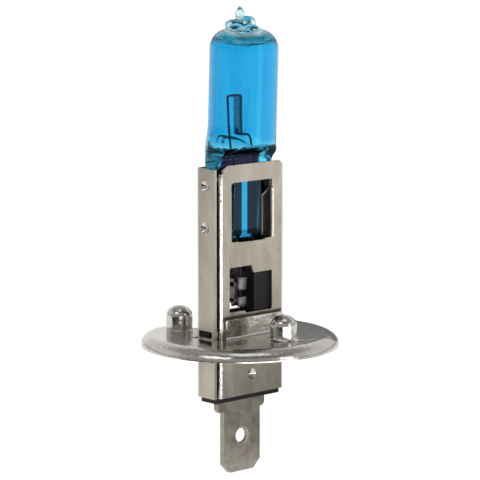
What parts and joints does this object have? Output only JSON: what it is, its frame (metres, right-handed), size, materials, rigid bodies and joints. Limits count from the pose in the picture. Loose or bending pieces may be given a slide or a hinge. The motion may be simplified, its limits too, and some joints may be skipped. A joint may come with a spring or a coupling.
{
  "type": "halogen headlight bulb",
  "caption": "Halogen headlight bulb: blue quartz capsule with an axial coil, held in a windowed metal bracket on a round locating flange, with a flat push-on blade.",
  "frame": {"origin": "on the lamp axis, in the plane of the flange's flat seat on the glass side", "axes": "+Z along the lamp axis to the glass tip; +X across the bracket's wide faces; -Y out of its front, windowed face; the straight cut and keyway of the flange lie on the +Y side"},
  "size_m": [0.0254, 0.0225, 0.0593],
  "materials": {
    "blue_quartz": "clear quartz glass with a transparent blue colour coat, gloss",
    "tungsten": "dark drawn wire",
    "molybdenum": "dark satin wire and foil",
    "nickel_plate": "satin nickel-plated steel sheet with fine rolling marks",
    "bright_nickel": "bright, slightly rippled nickel plating",
    "strap_steel": "dull welded steel strip",
    "black_phenolic": "moulded black, low gloss",
    "tinned_tab": "dull tinned steel with grey and brown mottling"
  },
  "bodies": {
    "root": {"glass_envelope": "blue_quartz", "filament_coil": "tungsten", "long_inner_lead": "molybdenum", "short_inner_lead": "molybdenum", "ground_foil": "molybdenum", "live_foil": "molybdenum", "ground_outer_lead": "molybdenum", "live_outer_lead": "molybdenum", "ground_strap": "strap_steel", "live_strap": "strap_steel", "front_shell": "nickel_plate", "rear_shell": "nickel_plate", "flange": "bright_nickel", "insulator_block": "black_phenolic", "terminal_blade": "tinned_tab"}
  },
  "joints": []
}
